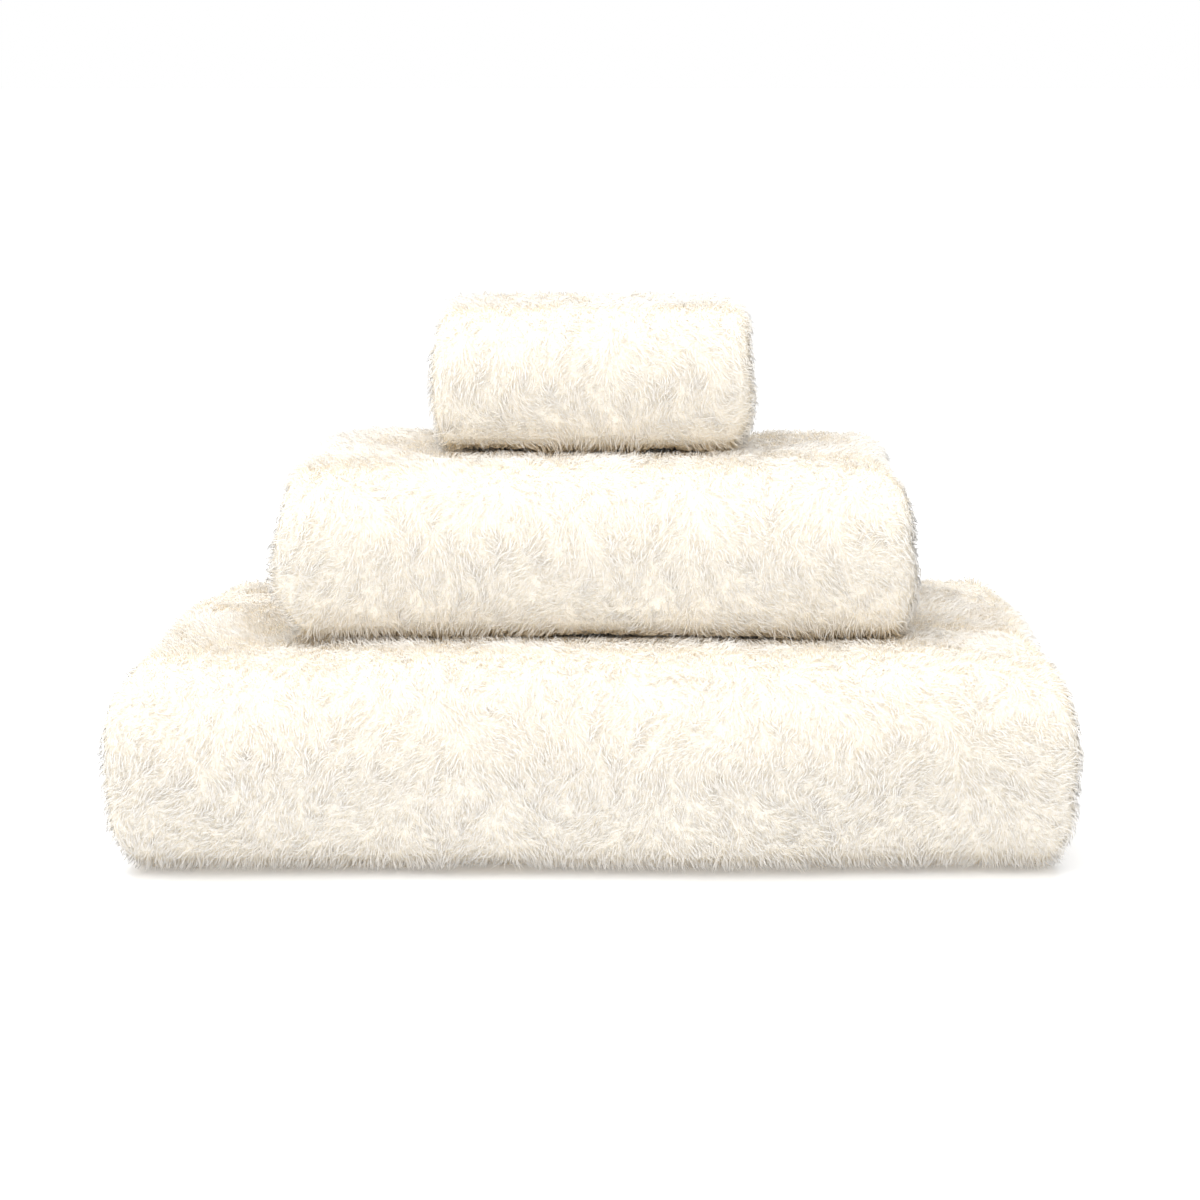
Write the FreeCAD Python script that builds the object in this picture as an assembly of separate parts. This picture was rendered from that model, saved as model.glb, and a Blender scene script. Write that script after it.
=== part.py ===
import FreeCAD, Part
import math
import os
from FreeCAD import Placement, Rotation, Vector

# A stack of three folded towels, in millimetres: bath below, hand on it, guest on top.
# X runs left to right, the rolled folds face -Y and Z is up. The origin is under the
# middle of the bath towel, on the surface that the stack stands on.
#
# Each towel is first folded in three along its length, so a band of three layers of
# cloth runs front to back: the outer layer, one end turned in over it from the left,
# and the other end turned in over both from the right. The band is then folded again
# front to back. A band point is (x, depth), with depth 0 on the outside of the band.

layer_gap = 0.6              # air between two layers of one towel
stack_gap = 0.3              # air between one towel and the next
end_hem_width = 14.0         # turned-over hems across the two short ends
side_hem_width = 8.0         # turned-over hems along the two long sides
hem_thickness = 3.0
thread_width = 1.2
thread_thickness = 0.3
thread_inset = 3.0           # from the pile to the row of stitches on a hem
tuck_clearance = 1.0         # the tucked-in end stops this far short of the right turn
middle_run_inset = 2.0       # the middle run of a three-fold band starts behind the turn

towels = [
    dict(
        name="bath_towel",
        cloth_length=1500.0,
        cloth_width=1000.0,
        folded_width=508.0,
        height=112.0,
        band_count=4,
        main_run=190.0,      # straight part of the two upper runs
        front=-137.0,        # foremost point of the rolled fold
    ),
    dict(
        name="hand_towel",
        cloth_length=1000.0,
        cloth_width=500.0,
        folded_width=341.0,
        height=92.5,
        band_count=3,
        main_run=110.0,      # straight part of the bottom run
        front=-75.0,
    ),
    dict(
        name="guest_towel",
        cloth_length=500.0,
        cloth_width=300.0,
        folded_width=175.0,
        height=77.5,
        band_count=3,
        main_run=54.0,
        front=-9.0,
    ),
]


def measure_layers(towel):
    """Work out the layer thickness and where the turns and ends of the band lie."""
    bands = towel["band_count"]
    band = (towel["height"] - (bands - 1) * layer_gap) / bands
    layer = (band - 2 * layer_gap) / 3
    half = towel["folded_width"] / 2
    left_turn = -half + layer + layer_gap / 2
    right_turn = half - band / 2
    tucked_end = right_turn - tuck_clearance
    used = (tucked_end - left_turn) + (right_turn - left_turn)
    used = used + math.pi * (layer + layer_gap) / 2
    used = used + math.pi * (band - layer) / 2
    covering_end = right_turn - (towel["cloth_length"] - used)
    return dict(
        band=band,
        layer=layer,
        left_turn=left_turn,
        right_turn=right_turn,
        tucked_end=tucked_end,
        covering_end=covering_end,
        tucked_depth=1.5 * layer + layer_gap,
        covering_depth=2.5 * layer + 2 * layer_gap,
    )


def band_section(sizes, low, high, tucked_end, covering_end):
    """Cross-section of the three-layer band, from low to high about the cloth's middle."""
    layer = sizes["layer"]
    band = sizes["band"]
    left = sizes["left_turn"]
    right = sizes["right_turn"]
    left_middle = layer + layer_gap / 2
    left_radius = (layer + layer_gap) / 2
    right_middle = band / 2
    right_radius = (band - layer) / 2

    def point(x, depth):
        return Vector(x, 0, depth)

    def line(start, end):
        return Part.LineSegment(start, end).toShape()

    def turn(middle_x, middle_depth, radius, side, rising):
        below = point(middle_x, middle_depth - radius)
        above = point(middle_x, middle_depth + radius)
        beside = point(middle_x + side * radius, middle_depth)
        if rising:
            return Part.Arc(below, beside, above).toShape()
        return Part.Arc(above, beside, below).toShape()

    outer_left = left_radius + high
    inner_left = left_radius + low
    outer_right = right_radius + high
    inner_right = right_radius + low
    edges = [
        line(
            point(covering_end, right_middle + outer_right),
            point(right, right_middle + outer_right),
        ),
        turn(right, right_middle, outer_right, 1, False),
        line(
            point(right, right_middle - outer_right),
            point(left, left_middle - outer_left),
        ),
        turn(left, left_middle, outer_left, -1, True),
        line(
            point(left, left_middle + outer_left),
            point(tucked_end, left_middle + outer_left),
        ),
        line(
            point(tucked_end, left_middle + outer_left),
            point(tucked_end, left_middle + inner_left),
        ),
        line(
            point(tucked_end, left_middle + inner_left),
            point(left, left_middle + inner_left),
        ),
        turn(left, left_middle, inner_left, -1, False),
        line(
            point(left, left_middle - inner_left),
            point(right, right_middle - inner_right),
        ),
        turn(right, right_middle, inner_right, 1, True),
        line(
            point(right, right_middle + inner_right),
            point(covering_end, right_middle + inner_right),
        ),
        line(
            point(covering_end, right_middle + inner_right),
            point(covering_end, right_middle + outer_right),
        ),
    ]
    return Part.Face(Part.Wire(edges))


def strip_section(x_start, x_end, depth_start, depth_end):
    """A rectangle in the band's cross-section."""
    corners = [
        Vector(x_start, 0, depth_start),
        Vector(x_end, 0, depth_start),
        Vector(x_end, 0, depth_end),
        Vector(x_start, 0, depth_end),
        Vector(x_start, 0, depth_start),
    ]
    return Part.Face(Part.makePolygon(corners))


def run(start_y, end_y, outside_z, faces_up):
    """A straight stretch of the band, with its outside face up or down."""
    return dict(kind="run", start=start_y, end=end_y, z=outside_z, up=faces_up)


def turn_over(middle_y, middle_z, outside_z, faces_up, angle):
    """A half turn of the band about a line along X."""
    return dict(
        kind="turn", start=middle_y, middle=middle_z, z=outside_z, up=faces_up, angle=angle
    )


def fold_in_half_twice(towel, sizes, base):
    """Route of the bath towel's band, from the bottom run at the back to the second run."""
    band = sizes["band"]
    top = base + towel["height"]
    middle = base + towel["height"] / 2
    front_turn = towel["front"] + towel["height"] / 2
    outer_length = math.pi * (towel["height"] - band) / 2
    inner_length = math.pi * (band + layer_gap) / 2
    upper_run = towel["main_run"]
    turns = outer_length + 2 * inner_length
    lower_run = (towel["cloth_width"] - turns - 2 * upper_run) / 2
    back_turn = front_turn + upper_run
    third_run_z = top - 2 * band - layer_gap
    second_run_z = third_run_z - layer_gap
    return [
        run(front_turn + lower_run, front_turn, base, False),
        turn_over(front_turn, middle, base, False, -180),
        run(front_turn, back_turn, top, True),
        turn_over(back_turn, top - band - layer_gap / 2, top, True, -180),
        run(back_turn, front_turn, third_run_z, False),
        turn_over(front_turn, middle, third_run_z, False, 180),
        run(front_turn, front_turn + lower_run, second_run_z, True),
    ]


def fold_in_three(towel, sizes, base):
    """Route of the two smaller towels' band, from the middle run to the top run."""
    band = sizes["band"]
    top = base + towel["height"]
    middle = base + towel["height"] / 2
    front_turn = towel["front"] + towel["height"] / 2
    outer_length = math.pi * (towel["height"] - band) / 2
    inner_length = math.pi * (band + layer_gap) / 2
    bottom_run = towel["main_run"]
    middle_run = bottom_run - middle_run_inset
    top_run = towel["cloth_width"] - outer_length - inner_length - bottom_run - middle_run
    back_turn = front_turn + bottom_run
    middle_run_z = base + 2 * band + layer_gap
    return [
        run(back_turn - middle_run, back_turn, middle_run_z, True),
        turn_over(back_turn, base + band + layer_gap / 2, middle_run_z, True, -180),
        run(back_turn, front_turn, base, False),
        turn_over(front_turn, middle, base, False, -180),
        run(front_turn, front_turn + top_run, top, True),
    ]


def place_section(section, step):
    """Stand a cross-section at the start of a step, with its outside the right way up."""
    placed = section.copy()
    tilt = 180 if step["up"] else 0
    placed.Placement = Placement(
        Vector(0, step["start"], step["z"]), Rotation(Vector(1, 0, 0), tilt)
    )
    return placed


def sweep(section, steps):
    """Carry a cross-section along the steps and join the stretches into one solid."""
    stretches = []
    for step in steps:
        placed = place_section(section, step)
        if step["kind"] == "run":
            stretches.append(placed.extrude(Vector(0, step["end"] - step["start"], 0)))
        else:
            axis_point = Vector(0, step["start"], step["middle"])
            stretches.append(placed.revolve(axis_point, Vector(1, 0, 0), step["angle"]))
    if len(stretches) == 1:
        return stretches[0]
    return stretches[0].fuse(stretches[1:]).removeSplitter()


def split_side_hems(steps):
    """Cut the side hems' width off both ends of a route."""
    first = steps[0]
    last = steps[-1]
    way = 1 if first["end"] > first["start"] else -1
    first_cut = first["start"] + way * side_hem_width
    first_hem = run(first["start"], first_cut, first["z"], first["up"])
    way = 1 if last["end"] > last["start"] else -1
    last_cut = last["end"] - way * side_hem_width
    last_hem = run(last_cut, last["end"], last["z"], last["up"])
    body = [run(first_cut, first["end"], first["z"], first["up"])]
    body = body + steps[1:-1]
    body.append(run(last["start"], last_cut, last["z"], last["up"]))
    return first_hem, body, last_hem


def stitch_row(hem):
    """The short stretch of a side hem that its row of stitches covers."""
    middle = (hem["start"] + hem["end"] - thread_width) / 2
    return run(middle, middle + thread_width, hem["z"], hem["up"])


def end_pieces(sizes, steps, pile_end, hem_end, depth):
    """An end hem and the two threads of its stitches, one on each face."""
    inner = min(pile_end, hem_end)
    outer = max(pile_end, hem_end)
    low = depth - hem_thickness / 2
    high = depth + hem_thickness / 2
    hem = sweep(strip_section(inner, outer, low, high), steps)
    way = 1 if hem_end > pile_end else -1
    row = pile_end + way * (thread_inset + thread_width / 2)
    left = row - thread_width / 2
    right = row + thread_width / 2
    threads = [
        sweep(strip_section(left, right, low - thread_thickness, low), steps),
        sweep(strip_section(left, right, high, high + thread_thickness), steps),
    ]
    return hem, Part.makeCompound(threads)


def side_pieces(sizes, hem_run):
    """A side hem, which follows all three layers, and the two threads of its stitches."""
    half = hem_thickness / 2
    tucked = sizes["tucked_end"]
    covering = sizes["covering_end"]
    hem = sweep(band_section(sizes, -half, half, tucked, covering), [hem_run])
    row = [stitch_row(hem_run)]
    above = half + thread_thickness
    threads = [
        sweep(band_section(sizes, half, above, tucked, covering), row),
        sweep(band_section(sizes, -above, -half, tucked, covering), row),
    ]
    return hem, Part.makeCompound(threads)


def build_towel(towel, base):
    """All the pieces of one towel, standing on the height base."""
    sizes = measure_layers(towel)
    if towel["band_count"] == 4:
        steps = fold_in_half_twice(towel, sizes, base)
    else:
        steps = fold_in_three(towel, sizes, base)
    first_hem_run, pile_steps, last_hem_run = split_side_hems(steps)
    half_layer = sizes["layer"] / 2
    tucked_pile = sizes["tucked_end"] - end_hem_width
    covering_pile = sizes["covering_end"] + end_hem_width
    section = band_section(sizes, -half_layer, half_layer, tucked_pile, covering_pile)
    name = towel["name"]
    pieces = {name + "_terry": sweep(section, pile_steps)}
    rows = [
        ("tucked_end", tucked_pile, sizes["tucked_end"], sizes["tucked_depth"]),
        ("covering_end", covering_pile, sizes["covering_end"], sizes["covering_depth"]),
    ]
    for place, pile_end, hem_end, depth in rows:
        hem, thread = end_pieces(sizes, pile_steps, pile_end, hem_end, depth)
        pieces[name + "_" + place + "_hem"] = hem
        pieces[name + "_" + place + "_stitching"] = thread
    rows = [("first_side", first_hem_run), ("last_side", last_hem_run)]
    for place, hem_run in rows:
        hem, thread = side_pieces(sizes, hem_run)
        pieces[name + "_" + place + "_hem"] = hem
        pieces[name + "_" + place + "_stitching"] = thread
    return pieces


def main():
    os.makedirs("parts", exist_ok=True)
    base = 0.0
    for towel in towels:
        pieces = build_towel(towel, base)
        for name, shape in pieces.items():
            box = shape.BoundBox
            print(
                name,
                "valid" if shape.isValid() else "NOT VALID",
                len(shape.Solids),
                "solids",
                round(shape.Volume / 1000, 2),
                "cm3",
                [round(v, 2) for v in (box.XMin, box.YMin, box.ZMin)],
                [round(v, 2) for v in (box.XMax, box.YMax, box.ZMax)],
            )
            shape.exportStep("parts/" + name + ".step")
        base = base + towel["height"] + stack_gap


main()
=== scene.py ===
import math

import bpy
import numpy as np
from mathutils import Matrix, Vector
from mathutils.bvhtree import BVHTree


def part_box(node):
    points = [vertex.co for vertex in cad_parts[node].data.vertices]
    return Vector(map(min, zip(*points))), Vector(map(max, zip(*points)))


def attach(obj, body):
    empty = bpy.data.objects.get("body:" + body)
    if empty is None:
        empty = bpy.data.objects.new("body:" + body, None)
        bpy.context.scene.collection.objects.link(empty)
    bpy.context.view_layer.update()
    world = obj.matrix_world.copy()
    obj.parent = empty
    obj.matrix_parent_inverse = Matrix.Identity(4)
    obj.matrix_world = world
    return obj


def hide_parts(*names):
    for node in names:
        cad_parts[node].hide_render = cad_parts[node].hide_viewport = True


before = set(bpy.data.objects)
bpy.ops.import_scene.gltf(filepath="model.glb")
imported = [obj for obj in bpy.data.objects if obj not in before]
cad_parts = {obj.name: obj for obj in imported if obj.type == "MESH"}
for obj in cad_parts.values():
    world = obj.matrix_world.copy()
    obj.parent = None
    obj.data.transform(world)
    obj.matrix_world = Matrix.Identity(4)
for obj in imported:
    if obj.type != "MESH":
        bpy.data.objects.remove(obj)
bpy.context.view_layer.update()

# Three folded long-pile towels. Each one is a true sheet of ground cloth, folded in three along
# its length and then folded again front to back, with hems, stitches and a pile of real strands.
# A place on the cloth is (along, across): metres along the towel's length from the end that is
# tucked in, and metres across its width from the side hem where the fold route starts.

fold = {
    "layerGap": 0.0006,  # these match the frame's own fold
    "tuckClearance": 0.001,
    "middleRunInset": 0.002,
    "endHem": 0.014,
    "sideHem": 0.008,
}


# shapes and folding

def measureTowel(towel):
    low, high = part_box(towel["name"] + "_terry")
    gap = fold["layerGap"]
    bands = towel["bands"]
    height = high.z - low.z
    band = (height - (bands - 1) * gap) / bands
    layer = (band - 2 * gap) / 3
    size = {
        "half": (high.x - low.x) / 2,
        "centre": (high.x + low.x) / 2,
        "base": low.z,
        "height": height,
        "middle": low.z + height / 2,
        "front": low.y,
        "back": high.y,
        "band": band,
        "layer": layer,
        "frontTurn": low.y + height / 2,
    }
    size["leftTurn"] = low.x + layer + gap / 2
    size["rightTurn"] = high.x - band / 2
    size["tuckedEnd"] = size["rightTurn"] - fold["tuckClearance"]
    size["leftRadius"] = (layer + gap) / 2
    size["rightRadius"] = (band - layer) / 2
    size["tuckedRun"] = size["tuckedEnd"] - size["leftTurn"]
    size["middleRun"] = size["rightTurn"] - size["leftTurn"]
    turned = math.pi * (size["leftRadius"] + size["rightRadius"])
    size["coveringRun"] = towel["cloth"][0] - size["tuckedRun"] - size["middleRun"] - turned
    size["backTurn"] = high.y - band - gap / 2
    towel["size"] = size
    towel["route"] = foldInHalfTwice(towel) if bands == 4 else foldInThree(towel)


def runStep(name, startY, endY, outsideZ, facesUp):
    return {"name": name, "turn": False, "y": startY, "way": math.copysign(1, endY - startY),
            "z": outsideZ, "up": facesUp, "length": abs(endY - startY)}


def turnStep(name, y, middleZ, outsideZ, facesUp, angle, radius):
    return {"name": name, "turn": True, "y": y, "middle": middleZ, "z": outsideZ,
            "up": facesUp, "angle": angle, "length": math.pi * radius}


def foldInHalfTwice(towel):
    size = towel["size"]
    gap = fold["layerGap"]
    band, top = size["band"], size["base"] + size["height"]
    frontTurn, backTurn = size["frontTurn"], size["backTurn"]
    outer, inner = (size["height"] - band) / 2, (band + gap) / 2
    upper = backTurn - frontTurn
    lower = (towel["cloth"][1] - math.pi * (outer + 2 * inner) - 2 * upper) / 2
    thirdZ = top - 2 * band - gap
    secondZ = thirdZ - gap
    return [
        runStep("Bottom", frontTurn + lower, frontTurn, size["base"], False),
        turnStep("FrontRoll", frontTurn, size["middle"], size["base"], False, -math.pi, outer),
        runStep("Top", frontTurn, backTurn, top, True),
        turnStep("BackFold", backTurn, top - band - gap / 2, top, True, -math.pi, inner),
        runStep("ThirdLayer", backTurn, frontTurn, thirdZ, False),
        turnStep("InnerRoll", frontTurn, size["middle"], thirdZ, False, math.pi, inner),
        runStep("SecondLayer", frontTurn, frontTurn + lower, secondZ, True),
    ]


def foldInThree(towel):
    size = towel["size"]
    gap = fold["layerGap"]
    band, base, top = size["band"], size["base"], size["base"] + size["height"]
    frontTurn, backTurn = size["frontTurn"], size["backTurn"]
    outer, inner = (size["height"] - band) / 2, (band + gap) / 2
    bottom = backTurn - frontTurn
    middle = bottom - fold["middleRunInset"]
    upper = towel["cloth"][1] - math.pi * (outer + inner) - bottom - middle
    middleZ = base + 2 * band + gap
    return [
        runStep("MiddleLayer", backTurn - middle, backTurn, middleZ, True),
        turnStep("BackFold", backTurn, base + band + gap / 2, middleZ, True, -math.pi, inner),
        runStep("Bottom", backTurn, frontTurn, base, False),
        turnStep("FrontRoll", frontTurn, size["middle"], base, False, -math.pi, outer),
        runStep("Top", frontTurn, frontTurn + upper, top, True),
    ]


def acrossBand(towel, along, lift):
    # where a place on the cloth lies in the three-layer band: (x, depth from the outside)
    size = towel["size"]
    gap, layer, band = fold["layerGap"], size["layer"], size["band"]
    left, right = size["leftTurn"], size["rightTurn"]
    leftRadius, rightRadius = size["leftRadius"], size["rightRadius"]
    firstTurn = size["tuckedRun"]
    middle = firstTurn + math.pi * leftRadius
    secondTurn = middle + size["middleRun"]
    covering = secondTurn + math.pi * rightRadius
    leftAngle = np.clip(along - firstTurn, 0, math.pi * leftRadius) / leftRadius
    rightAngle = np.clip(along - secondTurn, 0, math.pi * rightRadius) / rightRadius
    places = [along < firstTurn, along < middle, along < secondTurn, along < covering]
    x = np.select(
        places,
        [
            size["tuckedEnd"] - along,
            left - (leftRadius + lift) * np.sin(leftAngle),
            left + along - middle,
            right + (rightRadius + lift) * np.sin(rightAngle),
        ],
        right - (along - covering),
    )
    depth = np.select(
        places,
        [
            1.5 * layer + gap + lift,
            layer + gap / 2 + (leftRadius + lift) * np.cos(leftAngle),
            layer / 2 - lift,
            band / 2 - (rightRadius + lift) * np.cos(rightAngle),
        ],
        2.5 * layer + 2 * gap + lift,
    )
    return x, depth


def alongRoute(towel, across, depth):
    y = np.zeros_like(across)
    z = np.zeros_like(across)
    done = 0.0
    route = towel["route"]
    for number, step in enumerate(route):
        low = -np.inf if number == 0 else done
        high = np.inf if number == len(route) - 1 else done + step["length"]
        here = (across >= low) & (across < high)
        passed = across[here] - done
        facing = -1 if step["up"] else 1
        level = step["z"] + facing * depth[here]
        if step["turn"]:
            angle = step["angle"] * passed / step["length"]
            reach = level - step["middle"]
            y[here] = step["y"] - reach * np.sin(angle)
            z[here] = step["middle"] + reach * np.cos(angle)
        else:
            y[here] = step["y"] + step["way"] * passed
            z[here] = level
        done += step["length"]
    return y, z


def waves(points, wavelength, seed, count=9):
    # smooth, slow unevenness of about unit size
    dice = np.random.default_rng(seed)
    total = np.zeros(len(points))
    for _ in range(count):
        direction = dice.normal(size=3)
        direction *= 2 * math.pi * dice.uniform(0.7, 1.4) / (wavelength * np.linalg.norm(direction))
        total += np.sin(points @ direction + dice.uniform(0, 2 * math.pi))
    return total / math.sqrt(count / 2)


def ease(value, low, high):
    t = np.clip((value - low) / (high - low), 0, 1)
    return t * t * (3 - 2 * t)


slack = {
    "rollFloor": 0.3,        # keeps the fuller roll finite at its centre
    "endWave": 0.085,
    "sharedWave": 0.22,      # the same slow wave runs through the whole stack
    "sharedLift": 0.0011,
    "rollWave": 0.16,
    "backWave": 0.13,
    "backShift": 0.0022,
    "pressedMargin": 0.012,
    "pressedFade": 0.03,
}


def settle(towel, points):
    # softens the straight fold: fuller roll, ends that bulge in the middle, a narrower back,
    # a top that swells where nothing presses on it, and the unevenness of folded cloth
    size = towel["size"]
    half, halfHeight = size["half"], size["height"] / 2
    x, y, z = points[:, 0].copy(), points[:, 1].copy(), points[:, 2].copy()
    ahead = np.minimum(y - size["frontTurn"], 0)
    rise = z - size["middle"]
    reach = np.hypot(ahead, rise) + 1e-9
    power = np.where(rise > 0, towel["fullness"], towel["lowerFullness"])
    around = np.abs(ahead / reach) ** power + np.abs(rise / reach) ** power
    swell = np.maximum(around, slack["rollFloor"]) ** (-1 / power)
    grow = 1 + (swell - 1) * np.clip(reach / halfHeight, 0, 1)
    rolled = y < size["frontTurn"]
    y = np.where(rolled, size["frontTurn"] + ahead * grow, y)
    z = np.where(rolled, size["middle"] + rise * grow, z)

    level = (z - size["middle"]) / halfHeight
    backness = np.clip((y - size["front"]) / (size["back"] - size["front"]), 0, 1)
    leftEnd, rightEnd = towel["leftEnd"], towel["rightEnd"]
    end = {key: np.where(x < size["centre"], leftEnd[key], rightEnd[key]) for key in leftEnd}
    rounding = np.where(level > 0, end["top"], end["bottom"])
    inset = rounding * np.abs(level) ** 2 + end["taper"] * backness ** 1.5 - end["bulge"]
    sideways = (x - size["centre"]) / half
    endward = np.abs(sideways) ** 6
    flat = np.column_stack([np.zeros_like(x), y * 0.5, z * 1.9])
    side = np.sign(sideways)
    ragged = waves(flat + side[:, None], slack["endWave"], towel["seed"]) * towel["raggedEnds"]
    x = x - sideways * inset + side * endward * ragged
    z = z - end["shoulder"] * ease(np.abs(sideways), 0.72, 1.0) * ease(level, 0.1, 1.0)

    swellTop = ease(level, -0.2, 1.0) * towel["swell"] * (0.3 + 0.7 * backness)
    above = towel["above"]
    if above:
        top = above["size"]
        insideX = top["half"] - np.abs(x - top["centre"])
        insideY = np.minimum(y - top["frontTurn"], top["back"] - top["band"] / 2 - y)
        inside = np.minimum(insideX - slack["pressedMargin"], insideY)
        pressed = ease(inside, -slack["pressedFade"], 0.0)
        swellTop = swellTop * (1 - pressed)
    else:
        swellTop = swellTop * (1 - np.clip(np.abs(sideways), 0, 1) ** 4)
    z = z + swellTop

    standing = ease(z, 0.0, 0.03)
    shared = np.column_stack([x, y, z])
    z = z + standing * waves(shared * [1, 1, 0.6], slack["sharedWave"], 5) * slack["sharedLift"]
    facing = ease(size["frontTurn"] - y, 0.0, halfHeight)
    rollShift = waves(shared * [1, 0.2, 1.2], slack["rollWave"], towel["seed"] + 1)
    y = y + facing * rollShift * towel["rollWaves"]
    behind = ease(backness, 0.8, 1.0)
    backShift = waves(shared * [1, 0.3, 2.2], slack["backWave"], towel["seed"] + 2)
    y = y + behind * backShift * slack["backShift"]
    return np.column_stack([x, y, z])


def sheetPoints(towel, along, across, lift):
    x, depth = acrossBand(towel, along, lift)
    y, z = alongRoute(towel, across, depth)
    return settle(towel, np.column_stack([x, y, z]))


def unit(vectors):
    return vectors / np.maximum(np.linalg.norm(vectors, axis=1, keepdims=True), 1e-12)


# finishes

class Channel:
    # one output of a node; sums, differences and products of channels add Math nodes

    def __init__(self, finish, socket):
        self.finish = finish
        self.socket = socket

    def combine(self, operation, first, second):
        return self.finish.node("ShaderNodeMath", {"operation": operation}, {0: first, 1: second})

    def __add__(self, other):
        return self.combine("ADD", self, other)

    def __radd__(self, other):
        return self.combine("ADD", other, self)

    def __sub__(self, other):
        return self.combine("SUBTRACT", self, other)

    def __rsub__(self, other):
        return self.combine("SUBTRACT", other, self)

    def __mul__(self, other):
        return self.combine("MULTIPLY", self, other)


class Finish:
    # a material whose nodes are added one call at a time

    def __init__(self, name):
        self.material = bpy.data.materials.new(name)
        self.material.use_nodes = True
        self.tree = self.material.node_tree
        self.tree.nodes.clear()

    def node(self, kind, settings=None, sockets=None, output=0):
        made = self.tree.nodes.new(kind)
        for key, value in (settings or {}).items():
            setattr(made, key, value)
        for key, value in (sockets or {}).items():
            if isinstance(value, Channel):
                self.tree.links.new(value.socket, made.inputs[key])
            else:
                made.inputs[key].default_value = value
        return Channel(self, made.outputs[output])

    def blend(self, share, first, second):
        return self.node("ShaderNodeMix", {"data_type": "RGBA"}, {0: share, 6: first, 7: second}, 2)

    def place(self):
        return self.node("ShaderNodeTexCoord", None, None, 3)

    def stored(self, name):
        return self.node("ShaderNodeAttribute", {"attribute_name": name}, None, 2)

    def surface(self, sockets):
        shader = self.node("ShaderNodeBsdfPrincipled", None, sockets)
        out = self.tree.nodes.new("ShaderNodeOutputMaterial")
        self.tree.links.new(shader.socket, out.inputs["Surface"])
        return self.material


def rgba(red, green, blue):
    return (red, green, blue, 1)


pileLook = {
    # root, body and tip: painted shade and light along each strand, darker gold at the root deep in
    # the pile where shade falls, the cotton's own cream in the body, and near white at the tip
    "root": rgba(0.96, 0.85, 0.64),
    "body": rgba(0.98, 0.943, 0.888),
    "tip": rgba(0.986, 0.97, 0.947),
    "warm": rgba(0.975, 0.92, 0.82),
    # the next two: painted shade, a golden colour and its strength for the shaded crease along the
    # front of a contact
    "paintedCreaseShade": rgba(0.95, 0.78, 0.50),
    "creaseShadeStrength": 0.8,
    "sheen": 0.12,
}


def makePileFinish():
    finish = Finish("combedIvoryPile")
    share = finish.stored("tipShare")
    tone = finish.stored("strandTone")
    paintedCreaseShade = finish.stored("creaseShadeShare")
    place = finish.place()
    drift = finish.node("ShaderNodeTexNoise", None, {"Vector": place, "Scale": 14.0, "Detail": 2.0})
    # painted shade at the root and painted light at the tip: each strand runs from the darker gold
    # root through the body colour to the near-white tip
    lower = finish.blend(
        finish.node("ShaderNodeMapRange", None, {0: share, 1: 0.0, 2: 0.45}),
        pileLook["root"], pileLook["body"])
    colour = finish.blend(
        finish.node("ShaderNodeMapRange", None, {0: share, 1: 0.4, 2: 1.0}), lower, pileLook["tip"])
    shade = finish.node("ShaderNodeMapRange", None, {0: drift, 1: 0.35, 2: 0.7})
    warmed = finish.blend((shade * 0.22 + tone * 0.3) * (1 - share * 0.5), colour, pileLook["warm"])
    # painted shade: the golden crease colour is blended into the strands along the front of a contact
    warmed = finish.blend(paintedCreaseShade * pileLook["creaseShadeStrength"], warmed, pileLook["paintedCreaseShade"])
    return finish.surface({
        "Base Color": warmed,
        "Roughness": 0.65 + drift * 0.25,
        "Sheen Weight": pileLook["sheen"],
        "Sheen Roughness": 0.4,
        "Sheen Tint": rgba(1.0, 0.98, 0.95),
        "Specular IOR Level": 0.1,
    })


groundLook = {
    "thread": rgba(0.985, 0.948, 0.885),
    # painted shade: a darker colour for the hollows between the terry loops
    "shadedHollow": rgba(0.965, 0.90, 0.785),
    "loopScale": 900.0,
}


def makeGroundFinish():
    finish = Finish("looseTerryGround")
    place = finish.place()
    loops = finish.node("ShaderNodeTexVoronoi", None,
                        {"Vector": place, "Scale": groundLook["loopScale"]})
    drift = finish.node("ShaderNodeTexNoise", None, {"Vector": place, "Scale": 30.0, "Detail": 3.0})
    # painted shade in the hollows between the loops, mixed with a slow random tone
    colour = finish.blend(loops * 0.7 + drift * 0.3, groundLook["thread"], groundLook["shadedHollow"])
    bump = finish.node("ShaderNodeBump", None,
                       {"Height": 1 - loops, "Strength": 0.6, "Distance": 0.0006})
    return finish.surface({
        "Base Color": colour,
        "Roughness": 0.8 + drift * 0.15,
        "Normal": bump,
        "Specular IOR Level": 0.2,
    })


hemLook = {
    "thread": rgba(0.93, 0.86, 0.74),
    "shadow": rgba(0.80, 0.70, 0.54),
    "ribScale": 55.0,
}


def makeHemFinish():
    finish = Finish("flatWovenHem")
    place = finish.place()
    ribs = [
        finish.node("ShaderNodeTexWave", {"bands_direction": way},
                    {"Vector": place, "Scale": hemLook["ribScale"], "Distortion": 0.6})
        for way in "XYZ"
    ]
    ridge = ribs[0].combine("MAXIMUM", ribs[2], ribs[0]) * 0.6 + ribs[1] * 0.4
    drift = finish.node("ShaderNodeTexNoise", None, {"Vector": place, "Scale": 40.0, "Detail": 3.0})
    colour = finish.blend(ridge * 0.75 + drift * 0.25, hemLook["shadow"], hemLook["thread"])
    bump = finish.node("ShaderNodeBump", None, {"Height": ridge, "Strength": 0.5, "Distance": 0.0004})
    return finish.surface({
        "Base Color": colour,
        "Roughness": 0.75 + drift * 0.15,
        "Normal": bump,
        "Sheen Weight": 0.2,
    })


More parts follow.
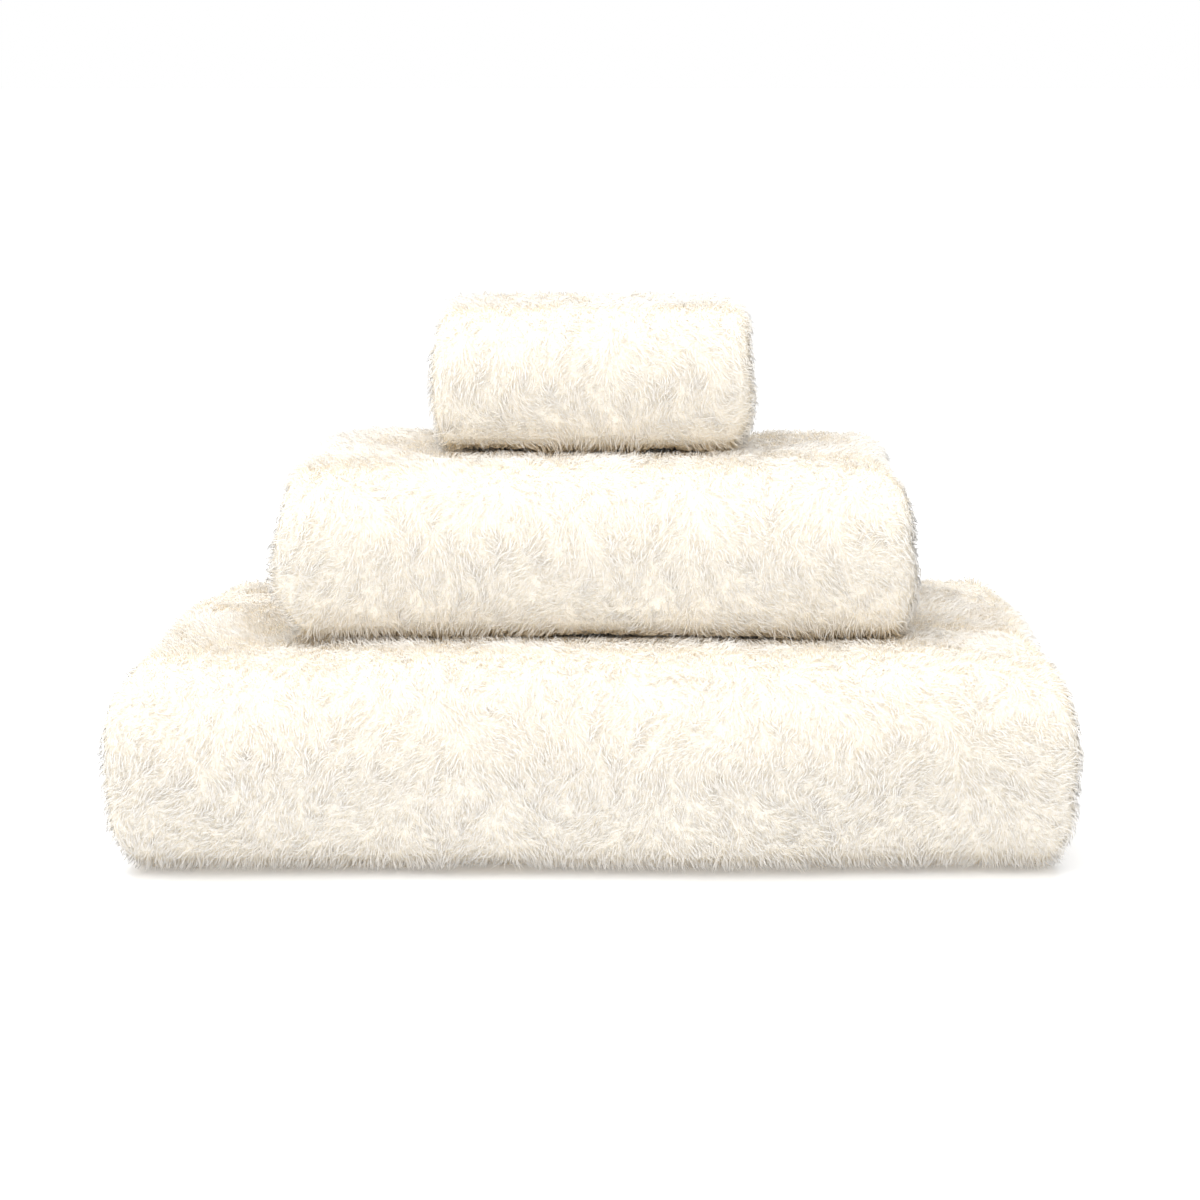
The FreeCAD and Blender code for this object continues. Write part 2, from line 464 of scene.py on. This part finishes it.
threadLook = {
    # painted shade: a darker colour for the grooves of the twist
    "shadedHollow": rgba(0.86, 0.78, 0.63),
    "ridge": rgba(0.97, 0.93, 0.85),
    "twistScale": 260.0,
}


def makeThreadFinish():
    finish = Finish("twistedSewingThread")
    place = finish.place()
    twist = finish.node("ShaderNodeTexWave", {"bands_direction": "DIAGONAL"},
                        {"Vector": place, "Scale": threadLook["twistScale"], "Distortion": 1.0})
    # painted shade in the grooves of the twist, lighter on its ridges
    colour = finish.blend(twist, threadLook["shadedHollow"], threadLook["ridge"])
    bump = finish.node("ShaderNodeBump", None, {"Height": twist, "Strength": 0.4, "Distance": 0.0001})
    return finish.surface({"Base Color": colour, "Roughness": 0.5 + twist * 0.1, "Normal": bump})


# mesh helpers

def addPiece(name, mesh, finish, body):
    mesh.materials.append(finish)
    piece = bpy.data.objects.new(name, mesh)
    bpy.context.scene.collection.objects.link(piece)
    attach(piece, body)
    return piece


def meshPiece(name, points, faces, finish, body, node):
    mesh = bpy.data.meshes.new(name)
    mesh.from_pydata(points.tolist(), [], faces.tolist())
    mesh.polygons.foreach_set("use_smooth", [True] * len(mesh.polygons))
    mesh.update()
    piece = addPiece(name, mesh, finish, body)
    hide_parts(body + "_" + node)
    return piece


def outwardFaces(points, faces):
    a, b, c, d = np.moveaxis(points[faces] - points.mean(0), 1, 0)
    volume = np.einsum("ij,ij->i", a, np.cross(b, c) + np.cross(c, d)).sum()
    return faces if volume > 0 else faces[:, ::-1]


def slabMesh(towel, alongs, acrosses, lowLift, highLift, roundness=0.0):
    # a closed slab of cloth over a grid of places, between two lifts
    rows, columns = len(alongs), len(acrosses)
    along, across = [g.ravel() for g in np.meshgrid(alongs, acrosses, indexing="ij")]
    middle = (lowLift + highLift) / 2
    halfThick = np.full_like(along, (highLift - lowLift) / 2)
    if roundness:
        edge = np.zeros((rows, columns), bool)
        edge[[0, -1], :] = True
        edge[:, [0, -1]] = True
        halfThick = np.where(edge.ravel(), halfThick * (1 - roundness), halfThick)
    high = sheetPoints(towel, along, across, middle + halfThick)
    low = sheetPoints(towel, along, across, middle - halfThick)
    number = np.arange(rows * columns).reshape(rows, columns)
    a, b = number[:-1, :-1].ravel(), number[1:, :-1].ravel()
    c, d = number[1:, 1:].ravel(), number[:-1, 1:].ravel()
    count = rows * columns
    faces = [np.column_stack([a, b, c, d]), np.column_stack([d, c, b, a]) + count]
    loop = np.concatenate([number[:-1, 0], number[-1, :-1], number[:0:-1, -1], number[0, :0:-1]])
    after = np.roll(loop, -1)
    faces.append(np.column_stack([after, loop, loop + count, after + count]))
    points = np.vstack([high, low])
    return points, outwardFaces(points, np.vstack(faces))


def stretches(lengths, coarse, fine):
    # places along a strip: fine steps in its turns and coarse ones in its runs
    places = [0.0]
    for length, turned in lengths:
        pieces = max(2, round(length / (fine if turned else coarse)))
        places.extend(np.linspace(places[-1], places[-1] + length, pieces + 1)[1:].tolist())
    return np.array(places)


def clipped(places, low, high):
    # the places between low and high, and both of these, with no sliver beside either
    margin = 0.0004
    inner = places[(places > low + margin) & (places < high - margin)]
    return np.concatenate([[low], inner, [high]])


def alongPlaces(towel, low, high, coarse=0.009):
    size = towel["size"]
    places = stretches(
        [
            (size["tuckedRun"], False),
            (math.pi * size["leftRadius"], True),
            (size["middleRun"], False),
            (math.pi * size["rightRadius"], True),
            (size["coveringRun"], False),
        ],
        coarse, 0.0022)
    return clipped(places, low, high)


def acrossPlaces(towel, low, high, coarse=0.009):
    places = stretches([(step["length"], step["turn"]) for step in towel["route"]], coarse, 0.0045)
    return clipped(places, low, high)


# ground cloth, hems and stitches

groundCloth = {"thickness": 0.0034}

hem = {"thickness": 0.003, "edgeRoundness": 0.45}

stitch = {
    "pitch": 0.0034,
    "length": 0.0029,
    "radius": 0.00034,
    "fromPile": 0.003,
    "fromCorner": 0.002,
    "stations": np.array([-0.5, -0.22, 0.22, 0.5]),  # shares of its length
    "heights": np.array([-0.7, 0.55, 0.55, -0.7]),   # in radii: each stitch dips into the cloth
}


def makeGround(towel, finish):
    half = groundCloth["thickness"] / 2
    length, width = towel["cloth"]
    alongs = alongPlaces(towel, fold["endHem"], length - fold["endHem"])
    acrosses = acrossPlaces(towel, fold["sideHem"], width - fold["sideHem"])
    points, faces = slabMesh(towel, alongs, acrosses, -half, half)
    piece = meshPiece(
        towel["label"] + "GroundCloth", points, faces, finish, towel["name"], "terry")
    return piece, BVHTree.FromPolygons(points.tolist(), faces.tolist())


def makeHems(towel, finish):
    length, width = towel["cloth"]
    endHem, sideHem = fold["endHem"], fold["sideHem"]
    half = hem["thickness"] / 2
    strips = [
        ("TuckedEndHem", "tucked_end_hem", (0, endHem), (sideHem, width - sideHem)),
        ("CoveringEndHem", "covering_end_hem", (length - endHem, length), (sideHem, width - sideHem)),
        ("FirstSideHem", "first_side_hem", (0, length), (0, sideHem)),
        ("LastSideHem", "last_side_hem", (0, length), (width - sideHem, width)),
    ]
    made = []
    for label, node, (lowAlong, highAlong), (lowAcross, highAcross) in strips:
        ends = "End" in label
        alongs = (np.linspace(lowAlong, highAlong, 8) if ends
                  else alongPlaces(towel, lowAlong, highAlong, 0.005))
        acrosses = (acrossPlaces(towel, lowAcross, highAcross, 0.005) if ends
                    else np.linspace(lowAcross, highAcross, 6))
        points, faces = slabMesh(towel, alongs, acrosses, -half, half, hem["edgeRoundness"])
        made.append(meshPiece(
            towel["label"] + label, points, faces, finish, towel["name"], node))
    return made


def makeStitches(towel, finish):
    length, width = towel["cloth"]
    inset = fold["endHem"] - stitch["fromPile"]
    sideMiddle = fold["sideHem"] / 2
    rows = [
        ("TuckedEndStitching", "tucked_end_stitching", inset, None),
        ("CoveringEndStitching", "covering_end_stitching", length - inset, None),
        ("FirstSideStitching", "first_side_stitching", None, sideMiddle),
        ("LastSideStitching", "last_side_stitching", None, width - sideMiddle),
    ]
    made = []
    for label, node, along, across in rows:
        reach = width if across is None else length
        start = fold["sideHem"] if across is None else stitch["fromCorner"]
        span = reach - start - start
        count = int(span / stitch["pitch"])
        centres = start + (np.arange(count) + 0.5) * span / count
        allPoints, allFaces = [], []
        for face in (1, -1):
            dips = stitch["heights"] * stitch["radius"]
            places = (centres[:, None] + stitch["stations"] * stitch["length"]).ravel()
            still = np.full_like(places, along if across is None else across)
            lift = face * (hem["thickness"] / 2 + np.tile(dips, count))
            a, b = (still, places) if across is None else (places, still)
            middle = sheetPoints(towel, a, b, lift)
            above = sheetPoints(towel, a, b, lift + face * 0.0005)
            upward = unit(above - middle)
            onward = unit(np.gradient(middle.reshape(count, 4, 3), axis=1).reshape(-1, 3))
            beside = unit(np.cross(onward, upward))
            ring = []
            for corner in range(4):
                turn = math.pi / 4 + corner * math.pi / 2
                around = beside * math.cos(turn) + upward * math.sin(turn)
                ring.append(middle + around * stitch["radius"])
            points = np.stack(ring, 1).reshape(-1, 3)
            first = np.arange(count)[:, None] * 16
            quads = []
            for level in range(3):
                for corner in range(4):
                    after = (corner + 1) % 4
                    quads.append([level * 4 + corner, level * 4 + after,
                                  level * 4 + 4 + after, level * 4 + 4 + corner])
            quads.append([3, 2, 1, 0])
            quads.append([12, 13, 14, 15])
            faces = (np.array(quads)[None] + first[:, :, None]).reshape(-1, 4)
            allFaces.append(faces + sum(len(p) for p in allPoints))
            allPoints.append(points)
        points, faces = np.vstack(allPoints), np.vstack(allFaces)
        made.append(meshPiece(
            towel["label"] + label, points, faces, finish, towel["name"], node))
    return made


# pile

pile = {
    "cell": 0.008,           # exposure is worked out once for each cell this size
    "perCellSide": 7,        # strands along each side of a cell
    "undersideShare": 0.35,  # of the strands, on an underside behind the front turn
    "underShare": 0.6,       # straight short strands beneath the combed ones
    "underReach": 0.72,
    "length": 0.0072,
    "lengthSpread": 0.18,
    "radius": 0.00025,
    "bodyHeight": 0.0027,    # how far the bend of a strand stands off the ground cloth
    "tipHeight": 0.0031,
    "clump": 0.0048,
    "gather": 0.45,          # how far the tips of a clump come together
    "strayShare": 0.04,
    "strayGather": 0.1,
    "clothShading": 0.5,     # how far a strand shades like the cloth under it
    "upwardLoss": 0.42,      # how much of that is lost where the cloth faces up
    "fringeHeight": 0.0074,  # how tall the pile stands where another surface is close
    "floor": 0.0004,
    "noLimit": 1.0,          # the room of a strand with nothing above it
    # the share of the painted crease shade that is kept where the cloth faces up
    "upwardCreaseShade": 0.35,
    "mostPerPiece": 34000,
}


def castClear(tree, starts, ways, reach):
    # distance to the first surface along each ray, or reach where there is none
    found = np.full(len(starts), reach)
    for i, (start, way) in enumerate(zip(starts.tolist(), ways.tolist())):
        hit = tree.ray_cast(start, way, reach)
        if hit[0] is not None:
            found[i] = hit[3]
    return found


def sideFrame(normals):
    helper = np.where(np.abs(normals[:, :1]) < 0.8, [[1.0, 0, 0]], [[0, 1.0, 0]])
    first = unit(np.cross(normals, helper))
    return first, np.cross(normals, first)


def exposure(towel, tree, face):
    # the share of seven ways out of each cell that meet no other part of the same towel
    length, width = towel["cloth"]
    cell = pile["cell"]
    alongs = np.arange(cell / 2, length, cell)
    acrosses = np.arange(cell / 2, width, cell)
    along, across = [g.ravel() for g in np.meshgrid(alongs, acrosses, indexing="ij")]
    lift = face * groundCloth["thickness"] / 2
    points = sheetPoints(towel, along, across, np.full_like(along, lift))
    middle = sheetPoints(towel, along, across, np.zeros_like(along))
    normals = unit(points - middle)
    first, second = sideFrame(normals)
    starts = points + normals * 0.0005
    far = 0.4
    openWays = (castClear(tree, starts, normals, far) >= far).astype(float)
    for number in range(6):
        turn = number * math.pi / 3
        tilted = unit(normals * 0.5 + first * math.cos(turn) + second * math.sin(turn))
        openWays += castClear(tree, starts, tilted, far) >= far
    return along, across, middle, normals, openWays / 7


def rotated(vectors, axes, angles):
    cosine, sine = np.cos(angles)[:, None], np.sin(angles)[:, None]
    along = np.einsum("ij,ij->i", vectors, axes)[:, None]
    return vectors * cosine + np.cross(axes, vectors) * sine + axes * along * (1 - cosine)


def strandRoots(towel, tree, face, dice):
    along, across, middle, normals, openness = exposure(towel, tree, face)
    side = pile["perCellSide"]
    share = ease(openness, 0.05, 0.45)
    hidden = (normals[:, 2] < -0.9) & (middle[:, 1] > towel["size"]["frontTurn"])
    share = np.where(hidden, share * pile["undersideShare"], share)
    keepCell = np.nonzero(share > 0.02)[0]
    sub = (np.arange(side) + 0.5) / side - 0.5
    offsetA, offsetB = [g.ravel() for g in np.meshgrid(sub, sub, indexing="ij")]
    count = side * side
    cellOf = np.repeat(keepCell, count)
    jitter = dice.uniform(-0.5, 0.5, (len(cellOf), 2)) / side
    a = along[cellOf] + (np.tile(offsetA, len(keepCell)) + jitter[:, 0]) * pile["cell"]
    b = across[cellOf] + (np.tile(offsetB, len(keepCell)) + jitter[:, 1]) * pile["cell"]
    kept = dice.uniform(size=len(cellOf)) < share[cellOf]
    length, width = towel["cloth"]
    kept &= (a > fold["endHem"] - 0.001) & (a < length - fold["endHem"] + 0.001)
    kept &= (b > fold["sideHem"] - 0.001) & (b < width - fold["sideHem"] + 0.001)
    return a[kept], b[kept]


def combedWay(towel, points, normals):
    # the way the pile lies: down and outward, with swirls left by hands and washing
    size = towel["size"]
    sideways = np.clip((points[:, 0] - size["centre"]) / size["half"], -1, 1)
    pull = np.zeros_like(points)
    pull[:, 2] = -1.0
    pull[:, 0] = sideways * 0.75
    pull[:, 1] = -0.45
    pull += 0.35 * np.column_stack([waves(points, 0.11, towel["seed"] + k) for k in (20, 21, 22)])
    way = pull - normals * np.einsum("ij,ij->i", pull, normals)[:, None]
    way = unit(way + 1e-6)
    broad = waves(points, 0.055, towel["seed"] + 30)
    fine = waves(points, 0.021, towel["seed"] + 31)
    return rotated(way, normals, broad * 0.5 + fine * 0.25)


def roomAbove(trees, roots, normals):
    # height over each root before the next layer, the next towel or the surface below
    reach = 0.016
    room = np.full(len(roots), pile["noLimit"])
    starts = roots + normals * 0.0008
    for tree in trees:
        share = 0.92 if tree is trees[-1] else 0.5
        clear = castClear(tree, starts, normals, reach)
        room = np.minimum(room, np.where(clear < reach - 0.0001, clear * share, pile["noLimit"]))
    return room


def creaseShadeAmount(towel, roots, normals, room):
    # painted shade: the pile is given a deeper, golden colour along the front of a contact, where the
    # crease between the towels lies in shade
    creaseShade = np.zeros(len(roots))
    for upper in (towel, towel["above"]):
        if upper:
            size = upper["size"]
            reached = ease(roots[:, 1], size["front"] - 0.004, size["front"] + 0.004)
            left = 1 - ease(roots[:, 1], size["front"] + 0.02, size["frontTurn"])
            creaseShade = np.maximum(creaseShade, reached * left)
    creaseShade *= 1 - ease(room, 0.0025, 0.0075)
    return creaseShade * np.where(normals[:, 2] > 0, pile["upwardCreaseShade"], 1.0)


def growPile(towel, tree, allTrees, finish):
    dice = np.random.default_rng(towel["seed"] * 7 + 1)
    half = groundCloth["thickness"] / 2
    parts = []
    for face in (1, -1):
        along, across = strandRoots(towel, tree, face, dice)
        parts.append((along, across, np.full(len(along), float(face))))
    along, across, face = [np.concatenate(group) for group in zip(*parts)]
    roots = sheetPoints(towel, along, across, face * (half - 0.0003))
    normals = unit(roots - sheetPoints(towel, along, across, np.zeros_like(along)))

    # clumps: strands whose roots share a patch lean together
    size = pile["clump"]
    drift = [waves(roots, 0.014, towel["seed"] + k) * size * 0.45 for k in (40, 41)]
    keyA = np.floor((along + drift[0]) / size).astype(np.int64)
    keyB = np.floor((across + drift[1]) / size).astype(np.int64)
    key = (keyA * 100000 + keyB) * 2 + (face > 0)
    _, clump = np.unique(key, return_inverse=True)
    clumps = clump.max() + 1
    members = np.bincount(clump, minlength=clumps)
    centre = np.column_stack([np.bincount(clump, roots[:, k], clumps) for k in range(3)])
    centre /= members[:, None]

    way = combedWay(towel, roots, normals)
    clumpTurn = dice.normal(size=clumps) * 0.3
    under = dice.uniform(size=len(roots)) < pile["underShare"]
    looseness = np.where(under, 1.0, 0.22)
    way = rotated(way, normals, clumpTurn[clump] + dice.normal(size=len(roots)) * looseness)
    clumpLift = dice.normal(size=clumps) * 0.12
    stray = dice.uniform(size=len(roots)) < pile["strayShare"]
    length = pile["length"] * (1 + dice.normal(size=len(roots)) * pile["lengthSpread"])
    length = np.clip(length, pile["length"] * 0.55, pile["length"] * 1.5)
    lifted = 1 + clumpLift[clump] + dice.normal(size=len(roots)) * 0.14
    bodyHeight = pile["bodyHeight"] * np.clip(lifted, 0.5, 1.6)
    tipHeight = pile["tipHeight"] * np.clip(lifted + dice.normal(size=len(roots)) * 0.22, 0.25, 1.9)
    tipHeight = np.where(stray, tipHeight * dice.uniform(1.1, 1.9, len(roots)), tipHeight)

    # where another surface is close the pile stands up towards it; a few strands still cross it
    room = roomAbove(allTrees, roots, normals)
    fringe = np.where(room < pile["noLimit"], np.minimum(room, pile["fringeHeight"]), 0.0)
    fringe *= dice.uniform(0.7, 1.0, len(roots))
    bodyHeight = np.minimum(np.maximum(bodyHeight, fringe * 0.55), room)
    tipHeight = np.minimum(np.maximum(tipHeight, fringe), room)
    steep = np.clip(1 - (tipHeight / length) ** 2, 0.3, 1) ** 0.5

    middle = roots + way * (length * 0.40 * steep)[:, None] + normals * bodyHeight[:, None]
    tip = roots + way * (length * 0.93 * steep)[:, None] + normals * tipHeight[:, None]
    inward = centre[clump] - roots
    inward -= normals * np.einsum("ij,ij->i", inward, normals)[:, None]
    gather = np.where(stray, pile["strayGather"], pile["gather"])[:, None]
    middle += inward * gather * 0.35
    tip += inward * gather
    tip[:, 2] -= 0.0006 * (1 - np.abs(normals[:, 2]))
    middle[:, 2] = np.maximum(middle[:, 2], pile["floor"])
    tip[:, 2] = np.maximum(tip[:, 2], pile["floor"])
    tip = np.where(under[:, None], roots + (tip - roots) * pile["underReach"], tip)

    # painted shade for the strands in the crease along the front of a contact
    creaseShade = creaseShadeAmount(towel, roots, normals, room)
    tone = dice.uniform(size=len(roots)) * 0.6 + dice.uniform(size=clumps)[clump] * 0.4
    strands = (roots, middle, tip, (tone, creaseShade), under, normals)
    return strandPieces(towel, across, strands, dice, finish)


def strandRing(centre, axis, normals, radius, spin):
    first = unit(np.cross(axis, normals))
    second = np.cross(axis, first)
    corners = []
    for corner in range(3):
        turn = spin + corner * 2 * math.pi / 3
        around = first * np.cos(turn)[:, None] + second * np.sin(turn)[:, None]
        corners.append(centre + around * radius[:, None])
    return corners


def strandShading(corners, axis, normals):
    # strands shade partly like the cloth they grow from, so the pile reads as one soft surface
    around = corners - axis[:, None]
    around /= np.maximum(np.linalg.norm(around, axis=2, keepdims=True), 1e-9)
    cloth = pile["clothShading"] - pile["upwardLoss"] * np.maximum(normals[:, 2:], 0)[:, None]
    return around * (1 - cloth) + normals[:, None] * cloth


def strandMesh(name, rings, tip, shades, under, shading):
    # a bent strand is two rings of three points and a tip; a straight one is a ring and a tip
    lower, upper = rings
    lowerShading, upperShading, tipShading = shading
    bent, straight = ~under, under
    bends, straights = int(bent.sum()), int(straight.sum())
    bentPoints = np.concatenate([lower[bent], upper[bent], tip[bent][:, None]], 1)
    straightPoints = np.concatenate([lower[straight], tip[straight][:, None]], 1)
    points = np.concatenate([bentPoints.reshape(-1, 3), straightPoints.reshape(-1, 3)])
    quads = np.array([[0, 1, 4, 3], [1, 2, 5, 4], [2, 0, 3, 5]])
    threes = np.array([[3, 4, 6], [4, 5, 6], [5, 3, 6]])
    spikes = np.array([[0, 1, 3], [1, 2, 3], [2, 0, 3]])
    first = np.arange(bends)[:, None, None] * 7
    second = np.arange(straights)[:, None, None] * 4 + bends * 7
    corners = [quads + first, threes + first, spikes + second]
    loops = np.concatenate([group.ravel() for group in corners])
    sides = np.concatenate([np.full(bends * 3, 4), np.full((bends + straights) * 3, 3)])
    starts = np.concatenate([[0], np.cumsum(sides)[:-1]])
    mesh = bpy.data.meshes.new(name)
    mesh.vertices.add(len(points))
    mesh.vertices.foreach_set("co", points.astype(np.float32).ravel())
    mesh.loops.add(len(loops))
    mesh.loops.foreach_set("vertex_index", loops.astype(np.int32))
    mesh.polygons.add(len(starts))
    mesh.polygons.foreach_set("loop_start", starts.astype(np.int32))
    mesh.polygons.foreach_set("use_smooth", np.ones(len(starts), bool))
    mesh.update(calc_edges=True)
    bentShading = np.concatenate([lowerShading[bent], upperShading[bent], tipShading[bent]], 1)
    straightShading = np.concatenate([lowerShading[straight], tipShading[straight]], 1)
    shaded = unit(np.concatenate([bentShading.reshape(-1, 3), straightShading.reshape(-1, 3)]))
    mesh.normals_split_custom_set_from_vertices(shaded.tolist())
    bentShares = np.tile([0, 0, 0, 0.5, 0.5, 0.5, 1], bends)
    straightShares = np.tile([0, 0, 0, 0.8], straights)
    shares = np.concatenate([bentShares, straightShares])
    tone, creaseShade = [
        np.concatenate([np.repeat(each[bent], 7), np.repeat(each[straight], 4)]) for each in shades]
    # the last of these attributes carries the painted crease shade
    for label, values in (("tipShare", shares), ("strandTone", tone), ("creaseShadeShare", creaseShade)):
        made = mesh.attributes.new(label, "FLOAT", "POINT")
        made.data.foreach_set("value", values.astype(np.float32))
    return mesh


def strandPieces(towel, across, strands, dice, finish):
    roots, middle, tip, (tone, creaseShade), under, normals = strands
    spin = dice.uniform(0, 2 * math.pi, len(roots))
    radius = pile["radius"] * dice.uniform(0.75, 1.2, len(roots))
    lower = np.stack(strandRing(roots, unit(middle - roots), normals, radius * 0.9, spin), 1)
    upper = np.stack(strandRing(middle, unit(tip - roots), normals, radius, spin), 1)
    lowerShading = strandShading(lower, roots, normals)
    upperShading = strandShading(upper, middle, normals)
    tipShading = normals[:, None]
    made = []
    done = 0.0
    route = towel["route"]
    for number, step in enumerate(route):
        low = -1 if number == 0 else done
        high = 99 if number == len(route) - 1 else done + step["length"]
        chosen = np.nonzero((across >= low) & (across < high))[0]
        done += step["length"]
        if not len(chosen):
            continue
        groups = np.array_split(chosen, math.ceil(len(chosen) / pile["mostPerPiece"]))
        for order, group in enumerate(groups):
            name = towel["label"] + "Pile" + step["name"] + (str(order + 1) if len(groups) > 1 else "")
            shading = (lowerShading[group], upperShading[group], tipShading[group])
            mesh = strandMesh(
                name, (lower[group], upper[group]), tip[group], (tone[group], creaseShade[group]),
                under[group], shading)
            made.append(addPiece(name, mesh, finish, towel["name"]))
    return made


# the three towels

guestTowel = {
    "name": "guest_towel", "label": "guestTowel", "cloth": (0.5, 0.3), "bands": 3, "seed": 31,
    "above": None, "fullness": 2.5, "lowerFullness": 5.0,
    "leftEnd": {"bulge": 0.001, "top": 0.0075, "bottom": 0.007, "taper": 0, "shoulder": 0.001},
    "rightEnd": {"bulge": 0.001, "top": 0.001, "bottom": 0.0085, "taper": 0, "shoulder": 0},
    "raggedEnds": 0.0012, "swell": 0.002, "rollWaves": 0.0009,
}

handTowel = {
    "name": "hand_towel", "label": "handTowel", "cloth": (1.0, 0.5), "bands": 3, "seed": 53,
    "above": guestTowel, "fullness": 2.5, "lowerFullness": 5.0,
    "leftEnd": {"bulge": 0.001, "top": 0.0085, "bottom": 0.018, "taper": 0.012, "shoulder": 0.0035},
    "rightEnd": {"bulge": 0.0025, "top": 0.011, "bottom": 0.001, "taper": 0, "shoulder": 0.001},
    "raggedEnds": 0.0016, "swell": 0.0015, "rollWaves": 0.0012,
}

bathTowel = {
    "name": "bath_towel", "label": "bathTowel", "cloth": (1.5, 1.0), "bands": 4, "seed": 71,
    "above": handTowel, "fullness": 2.4, "lowerFullness": 3.4,
    "leftEnd": {"bulge": 0.0025, "top": 0.0215, "bottom": 0.018, "taper": 0.030, "shoulder": 0},
    "rightEnd": {"bulge": 0.002, "top": 0.012, "bottom": 0.0095, "taper": 0.015, "shoulder": 0},
    "raggedEnds": 0.0022, "swell": 0.004, "rollWaves": 0.0016,
}

towels = [bathTowel, handTowel, guestTowel]
for towel in towels:
    measureTowel(towel)

groundFinish = makeGroundFinish()
hemFinish = makeHemFinish()
threadFinish = makeThreadFinish()
pileFinish = makePileFinish()
print("finishes made")

grounds, trees = [], []
for towel in towels:
    ground, tree = makeGround(towel, groundFinish)
    grounds.append(ground)
    trees.append(tree)
print("ground cloth folded")

restingSurface = BVHTree.FromPolygons(
    [(-2, -2, 0), (2, -2, 0), (2, 2, 0), (-2, 2, 0)], [(0, 1, 2, 3)])

for number, towel in enumerate(towels):
    hems = makeHems(towel, hemFinish)
    stitching = makeStitches(towel, threadFinish)
    near = [tree for place, tree in enumerate(trees) if abs(place - number) <= 1]
    strands = growPile(towel, trees[number], near + [restingSurface], pileFinish)
    below = towels[number - 1]["label"] + "GroundCloth" if number else "surface below"
    print(towel["label"], "made,", len(strands), "pieces of pile,",
          sum(len(piece.data.polygons) for piece in strands), "faces")


# stage, light and camera

stage = {
    "floorColour": rgba(0.8, 0.8, 0.8),
    "floorGlow": 0.18,
    "worldStrength": 1.0,
}


def makeStage():
    mesh = bpy.data.meshes.new("floor")
    mesh.from_pydata([(-12, -12, 0), (12, -12, 0), (12, 12, 0), (-12, 12, 0)], [], [(0, 1, 2, 3)])
    floor = bpy.data.objects.new("floor", mesh)
    bpy.context.scene.collection.objects.link(floor)
    finish = Finish("whiteTabletop")
    mesh.materials.append(finish.surface({
        "Base Color": stage["floorColour"],
        "Roughness": 0.25,
        "Emission Color": rgba(1, 1, 1),
        "Emission Strength": stage["floorGlow"],
    }))
    world = bpy.data.worlds.new("paleRoom")
    world.use_nodes = True
    background = world.node_tree.nodes["Background"]
    background.inputs["Color"].default_value = rgba(1, 1, 1)
    background.inputs["Strength"].default_value = stage["worldStrength"]
    bpy.context.scene.world = world


def softLight(name, place, target, size, power):
    light = bpy.data.lights.new(name, "AREA")
    light.shape = "RECTANGLE"
    light.size, light.size_y = size
    light.energy = power
    lamp = bpy.data.objects.new(name, light)
    lamp.location = place
    lamp.rotation_euler = (Vector(target) - Vector(place)).to_track_quat("-Z", "Y").to_euler()
    bpy.context.scene.collection.objects.link(lamp)


makeStage()
softLight("overheadSoftbox", (-0.3, -0.45, 1.9), (0, 0, 0.1), (2.0, 1.4), 27)
softLight("frontSoftbox", (0.2, -2.8, 0.38), (0, 0, 0.12), (3.0, 0.7), 6)
softLight("leftSoftbox", (-1.5, -1.3, 1.0), (0, 0, 0.12), (1.0, 1.2), 4)

camera = {
    "place": (0.0047, -1.962, 0.467),
    "pitch": 0.173,
    "lens": 108.96,
    "sensor": 36,
}
view = bpy.data.cameras.new("frontCamera")
view.lens = camera["lens"]
view.sensor_width = camera["sensor"]
view.clip_start, view.clip_end = 0.05, 60
viewer = bpy.data.objects.new("frontCamera", view)
viewer.location = camera["place"]
viewer.rotation_euler = (math.pi / 2 - camera["pitch"], 0, 0)
scene = bpy.context.scene
scene.collection.objects.link(viewer)
scene.camera = viewer
scene.view_settings.view_transform = "Standard"
scene.cycles.max_bounces = 16
scene.cycles.diffuse_bounces = 10
print("stage, lights and camera set")
